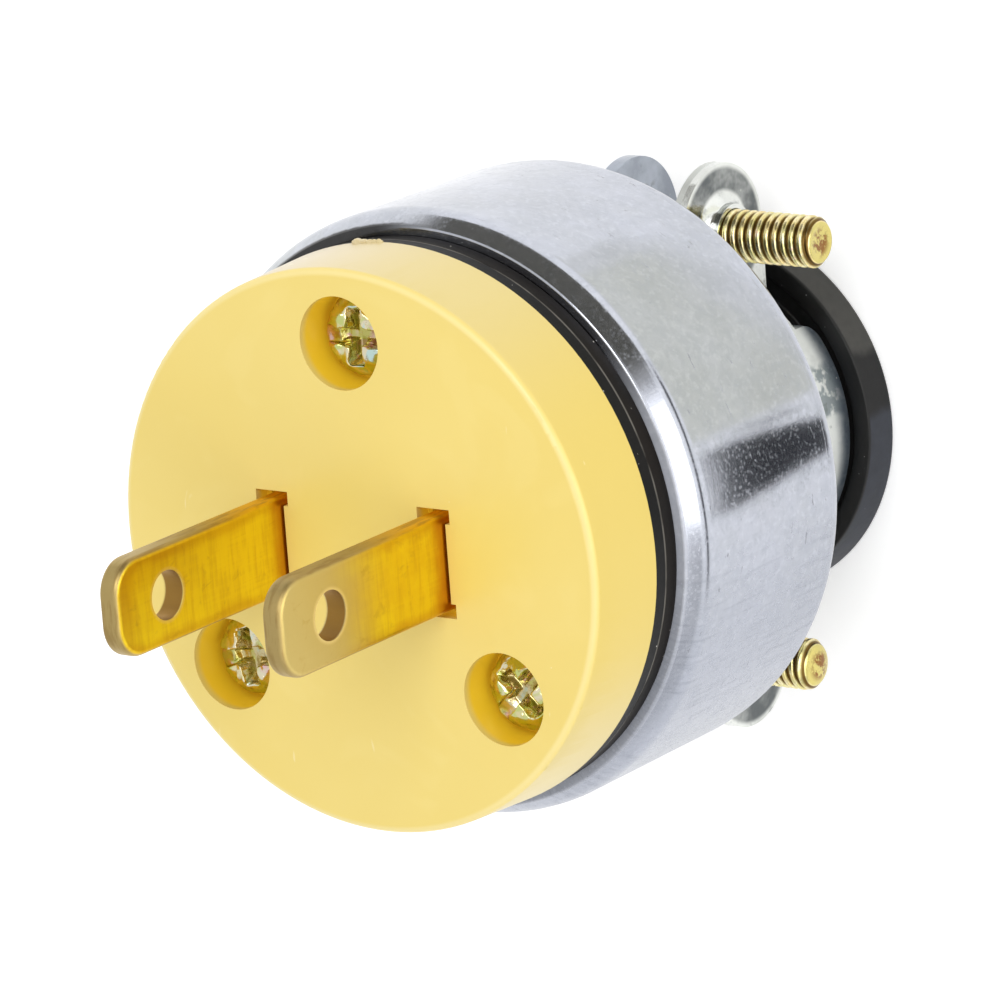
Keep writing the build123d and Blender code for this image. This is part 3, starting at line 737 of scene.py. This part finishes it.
def buildShell(s):
    w = s["wall"]
    (fr, fz), (cr, cz), (rr, rz) = s["front"], s["crease"], s["rear"]
    lean = atan2(cr - fr, fz - cz)
    innerCrease = cz - w * tan(lean / 2)
    innerFront = fr - w * tan((pi / 2 - lean) / 2)
    lipFront = s["neckRear"] + s["neckLipThick"]
    profile = [
        (s["lip"], fz, 0.15), (fr, fz, 0.22), (cr, cz, 2.2), (rr + s["lineOut"], rz + s["line"], 0.02),
        (rr - s["lineIn"], rz + s["line"] - s["lineWide"], 0.02), (rr - s["lineOut"], rz, 1.1),
        (s["neck"], rz, 0.5), (s["neck"], lipFront, 0.25), (s["neckLip"], lipFront, 0.3),
        (s["neckLip"], s["neckRear"], 0.3), (s["neck"] - w, s["neckRear"], 0.3),
        (s["neck"] - w, rz + w, 0.4), (rr - w, rz + w, 0.4), (cr - w, innerCrease, 0.3),
        (innerFront, fz - w, 0.2), (s["lip"], fz - w, 0.15),
    ]
    turned("platedShellBody", "shell", profile, "shell")


buildShell(shellSizes)

# Grommet and insulating ring
grommetSizes = {"bore": 6.2, "flange": 12.95, "draft": 0.65, "thick": 2.2, "sleeve": 9.9, "top": 12.3,
                "step": 1.25, "stepFoot": 1.1, "dip": 0.06, "centre": (0, -clampAxes["drop"])}


def buildGrommet(s):
    profile = [
        (s["bore"], 0, 0.25), (s["flange"], 0, 0.22), (s["flange"] - s["draft"], s["thick"], 0.14),
        (s["sleeve"] + s["step"], s["thick"], 0.02),
        (s["sleeve"] + s["stepFoot"], s["thick"] - s["dip"], 0.05), (s["sleeve"], s["thick"] - s["dip"], 0.2),
        (s["sleeve"], s["top"], 0.3), (s["bore"], s["top"], 0.25),
    ]
    turned("cordGrommet", "rubber", profile, "grommet", s["centre"])


buildGrommet(grommetSizes)

ringSizes = {"outer": 18.68, "inner": 15.9, "rear": 34.5, "front": 35.75}


def buildRing(s):
    profile = [
        (s["inner"], s["rear"], 0.1), (s["outer"], s["rear"], 0.12),
        (s["outer"], s["front"], 0.12), (s["inner"], s["front"], 0.1),
    ]
    turned("fibreRing", "fibre", profile, "insulating_ring")


buildRing(ringSizes)
print("stage: turned pieces built")

# Rolled thread as a geometry node tree: a grid wrapped into a closed, grooved tube along Z
threadInputs = [
    ("Crest", "Float"), ("Root", "Float"), ("Pitch", "Float"), ("Length", "Float"), ("Tip", "Float"),
    ("Dome", "Float"), ("Cap", "Float"), ("Around", "Int"), ("Along", "Int"), ("Finish", "Material"),
]
threadShape = {"flankFrom": 0.12, "flankTo": 0.72, "weld": 0.001}


def buildThreadTree():
    tree = bpy.data.node_groups.new("rolledThread", "GeometryNodeTree")
    for name, kind in threadInputs:
        tree.interface.new_socket(name, in_out="INPUT", socket_type="NodeSocket" + kind)
    tree.interface.new_socket("Geometry", in_out="OUTPUT", socket_type="NodeSocketGeometry")
    kit = NodeKit(tree)
    given = {value.socket.name: value for value in kit.every(kit.node("NodeGroupInput"))}
    grid = kit.node("GeometryNodeMeshGrid", Size_X=1.0, Size_Y=1.0,
                    Vertices_X=given["Around"], Vertices_Y=given["Along"])
    gridX, gridY = kit.split(kit.node("GeometryNodeInputPosition"))[:2]
    turn = gridX + 0.5
    length, cap = given["Length"], given["Cap"]
    full = length + cap * 2
    walk = (gridY + 0.5) * full
    z = (walk - cap).most(0.0).least(length)
    foot = (walk / cap).least(1.0)
    end = ((full - walk) / cap).least(1.0)
    ridge = 1 - ((z / given["Pitch"] - turn).part() * 2 - 1).size()
    flank = ridge.ramp(threadShape["flankFrom"], threadShape["flankTo"])
    radius = given["Root"] + (given["Crest"] - given["Root"]) * flank
    radius = radius.least(given["Crest"] - given["Tip"] + length - z) * foot * end
    angle = turn * (2 * pi)
    spot = kit.joined(radius * angle.cosine(), radius * angle.sine(), z + given["Dome"] * (1 - end * end))
    tube = kit.node("GeometryNodeSetPosition", Geometry=grid, Position=spot)
    tube = kit.node("GeometryNodeMergeByDistance", Geometry=tube, Distance=threadShape["weld"] * mm)
    tube = kit.node("GeometryNodeSetShadeSmooth", Geometry=tube)
    tube = kit.node("GeometryNodeRealizeInstances", Geometry=tube)
    tube = kit.node("GeometryNodeSetMaterial", Geometry=tube, Material=given["Finish"])
    kit.node("NodeGroupOutput", Geometry=tube)
    return tree


threadTree = buildThreadTree()


def plainMesh(holder):                  # the evaluated shape as a mesh, and its holder removed
    bpy.context.view_layer.update()
    shape = holder.evaluated_get(bpy.context.evaluated_depsgraph_get())
    mesh = bpy.data.meshes.new_from_object(shape)
    bpy.data.objects.remove(holder)
    return mesh


def threadMesh(name, values):
    holder = linked(bpy.data.meshes.new(name), name)
    work = holder.modifiers.new("thread", "NODES")
    work.node_group = threadTree
    for item in threadTree.interface.items_tree:
        if item.in_out == "INPUT":
            work[item.identifier] = values[item.name]
    return plainMesh(holder)


# Machine screws: a low round head with a slot and a cross in it, on a threaded shank
screwSizes = {
    "crest": 1.745, "root": 1.44, "pitch": 0.65, "around": 56, "rowsPerTurn": 14, "cap": 0.45, "tip": 0.42,
    "headRadius": 2.68, "headHigh": 1.84, "rimHigh": 1.0, "rimDraft": 0.03, "topRadius": 1.85,
    "topDrop": 0.06, "core": 1.2, "coreReach": 1.0,
    "slotWide": 1.1, "slotDeep": 0.8, "armLong": 4.3, "armFoot": 2.4, "armWide": 1.25, "armFootWide": 0.6,
    "armDeep": 1.3, "cutAbove": 0.4, "slotTaper": 1.1, "slotLong": 8, "grainSize": 0.065, "softening": 5,
    "wobble": 0.19, "wobbleSize": 0.68, "wobbleFrom": 0.4, "wobbleBias": 0.3,
}
machineScrews = [                       # node, name, axis towards the tip, length, tip's dome, slot's turn
    ("upper_cover_screw", "upperCoverScrew", (0, 0, -1), 9.2, 0.0, 0),
    ("left_cover_screw", "leftCoverScrew", (0, 0, -1), 9.2, 0.0, 8),
    ("right_cover_screw", "rightCoverScrew", (0, 0, -1), 9.2, 0.0, 45),
    ("upper_clamp_screw", "upperClampScrew", (1, 0, 0), 15.45, -0.12, 30),
    ("lower_clamp_screw", "lowerClampScrew", (1, 0, 0), 15.45, 0.30, 70),
]


def tapered(name, long, wide, footLong, footWide, top, foot):      # a block that narrows downwards
    corners = []
    for x, y, z in [(long, wide, top), (footLong, footWide, foot)]:
        corners += [(x / 2 * a * mm, y / 2 * b * mm, z * mm) for a, b in [(-1, -1), (1, -1), (1, 1), (-1, 1)]]
    sides = [(k, k + 4, (k + 1) % 4 + 4, (k + 1) % 4) for k in range(4)]
    mesh = bpy.data.meshes.new(name)
    mesh.from_pydata(corners, [], [(0, 1, 2, 3), (7, 6, 5, 4)] + sides)
    return linked(mesh, name)


def screwHead(name, turn):              # seat at the origin, top towards +Z
    s = screwSizes
    outline = rounded([
        (0, s["headHigh"], 0), (s["topRadius"], s["headHigh"] - s["topDrop"], 1.2),
        (s["headRadius"], s["rimHigh"], 0.5), (s["headRadius"] - s["rimDraft"], 0, 0.15),
        (s["core"], 0, 0), (s["core"], -s["coreReach"], 0), (0, -s["coreReach"], 0)])
    holder = linked(spun(name, outline, False, meshRules["headAround"]), name)
    rise = s["headHigh"] + s["cutAbove"]
    deep = s["headHigh"] - s["armDeep"]
    grow = (rise - deep) / s["armDeep"]
    topLong = s["armFoot"] + (s["armLong"] - s["armFoot"]) * grow
    topWide = s["armFootWide"] + (s["armWide"] - s["armFootWide"]) * grow
    cutters = [
        tapered("slotCutter", s["slotLong"], s["slotWide"] * s["slotTaper"], s["slotLong"], s["slotWide"],
                rise, s["headHigh"] - s["slotDeep"]),
        tapered("armCutter", topLong, topWide, s["armFoot"], s["armFootWide"], rise, deep),
        tapered("crossCutter", topWide, topLong, s["armFootWide"], s["armFoot"], rise, deep),
    ]
    for cutter in cutters:
        cutter.data.transform(Matrix.Rotation(radians(turn), 4, "Z"))
        cut = holder.modifiers.new("cut", "BOOLEAN")
        cut.operation = "DIFFERENCE"
        cut.solver = "EXACT"
        cut.object = cutter
    remesh = holder.modifiers.new("remesh", "REMESH")      # stamped metal has soft, uneven edges
    remesh.mode = "VOXEL"
    remesh.voxel_size = s["grainSize"] * mm
    remesh.use_smooth_shade = True
    soften = holder.modifiers.new("soften", "SMOOTH")
    soften.factor = 0.5
    soften.iterations = s["softening"]
    mesh = plainMesh(holder)
    for cutter in cutters:
        bpy.data.objects.remove(cutter)
    for v in mesh.vertices:
        inward = min(1.0, max(0.0, v.co.z / mm - s["wobbleFrom"]))
        spot = v.co / (s["wobbleSize"] * mm) + Vector((turn, len(name), 0))
        v.co.z += (noise.noise(spot) - s["wobbleBias"]) * s["wobble"] * mm * inward
        v.co.xy += noise.noise_vector(spot).xy * s["wobble"] * mm * inward
    return mesh


def machineScrew(node, name, axis, length, dome, slotTurn):
    s = screwSizes
    axis = Vector(axis)
    low, high = (Vector(c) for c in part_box(node))
    middle = (low + high) / 2
    reach = (high - low).dot(Vector(abs(c) for c in axis)) / 2
    seat = middle + axis * (reach - length * mm)
    head = screwHead(name + "Head", slotTurn)
    turn = (-axis).to_track_quat("Z", "Y").to_matrix().to_4x4()
    turn.translation = seat
    head.transform(turn)
    thread = threadMesh(name + "Thread", {
        "Crest": s["crest"] * mm, "Root": s["root"] * mm, "Pitch": s["pitch"] * mm,
        "Length": (length - max(dome, 0)) * mm, "Tip": s["tip"] * mm, "Dome": dome * mm, "Cap": s["cap"] * mm,
        "Around": s["around"], "Along": round((length / s["pitch"] + 1) * s["rowsPerTurn"]),
        "Finish": finishes["zinc"]})
    turn = axis.to_track_quat("Z", "Y").to_matrix().to_4x4()
    turn.translation = seat
    thread.transform(turn)
    work = bmesh.new()
    work.from_mesh(head)
    heads = len(work.faces)
    work.from_mesh(thread)
    work.faces.ensure_lookup_table()
    for face in work.faces:
        face.material_index = 0 if face.index < heads else 1
    mesh = bpy.data.meshes.new(name)
    work.to_mesh(mesh)
    work.free()
    mesh.materials.append(finishes["zinc"])
    mesh.materials.append(finishes["thread" if axis.x else "zinc"])
    piece = linked(mesh, name)
    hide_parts(node)
    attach(piece, "root")


for row in machineScrews:
    machineScrew(*row)
print("stage: machine screws threaded")

# The near clamp's drawn collars close in around their screws
collarSizes = {"top": 7.25, "high": 0.95, "from": 1.9, "to": 3.4, "slim": 0.36, "over": 0.45, "above": 0.01}


def slimCollar(mesh):
    s = collarSizes
    for v in mesh.vertices:
        side = 1 if v.co.y > -clampAxes["drop"] * mm else -1
        axis = Vector((0, side * clampAxes["apart"] - clampAxes["drop"], clampAxes["height"])) * mm
        arm = Vector((0, v.co.y, v.co.z)) - axis
        high = v.co.x / mm - (s["top"] - s["high"])
        if s["from"] * mm < arm.length < s["to"] * mm and high > s["above"]:
            drawn = arm.normalized() * (s["slim"] * mm * min(1.0, high / s["over"]))
            v.co.y -= drawn.y
            v.co.z -= drawn.z


# Pieces carried over from the frame's own shapes
carried = [                             # node, name, finish, record slot, edge in millimetres
    ("front_cover", "yellowCover", "yellow", "yellow_moulding", 0.10),
    ("left_blade", "leftBlade", "brass", "blade_brass", 0.0),
    ("right_blade", "rightBlade", "brass", "blade_brass", 0.0),
    ("contact_carrier", "contactCarrier", "black", "black_moulding", 0.0),
    ("near_clamp", "nearClamp", "sheet", "zinc_sheet", 0.22),
    ("far_clamp", "farClamp", "shadedPlainSheet", "zinc_sheet", 0.12),
    ("left_terminal_screw", "leftTerminalScrew", "brass", "terminal_brass", 0.06),
    ("right_terminal_screw", "rightTerminalScrew", "brass", "terminal_brass", 0.06),
    ("retaining_ring", "retainingRing", "sheet", "zinc_sheet", 0.0),
    ("shell_liner", "shellLiner", "fibre", "black_fibre", 0.0),
]
for node, name, finish, slot, edge in carried:
    piece = refined(node, name, finish, edge)
    if node == "near_clamp":
        slimCollar(piece.data)
print("stage: carried pieces refined")

# Crumbs of moulding flash left on the cover's rear edge
flashSizes = {
    "radius": 18.78, "height": 37.05, "wide": 0.7, "high": 0.9, "rough": 0.09, "roughSize": 0.22,
    "crumbs": [(97.8, 0.42), (96.4, 0.34), (95.0, 0.30), (93.8, 0.26), (92.6, 0.28)],      # degrees, size
}


def buildFlash(s):
    work = bmesh.new()
    for azimuth, size in s["crumbs"]:
        a = radians(azimuth)
        place = Matrix.Translation(Vector((s["radius"] * cos(a), s["radius"] * sin(a), s["height"])) * mm)
        place = place @ Matrix.Diagonal((size * mm, size * s["wide"] * mm, size * s["high"] * mm, 1))
        bmesh.ops.create_icosphere(work, subdivisions=3, radius=1.0, matrix=place)
    for v in work.verts:
        v.co += noise.noise_vector(v.co / (s["roughSize"] * mm)) * s["rough"] * mm
    for face in work.faces:
        face.smooth = True
    mesh = bpy.data.meshes.new("coverFlash")
    work.to_mesh(mesh)
    work.free()
    mesh.materials.append(finishes["yellow"])
    piece = linked(mesh, "coverFlash")
    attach(piece, "root")


buildFlash(flashSizes)
print("stage: moulding flash added")
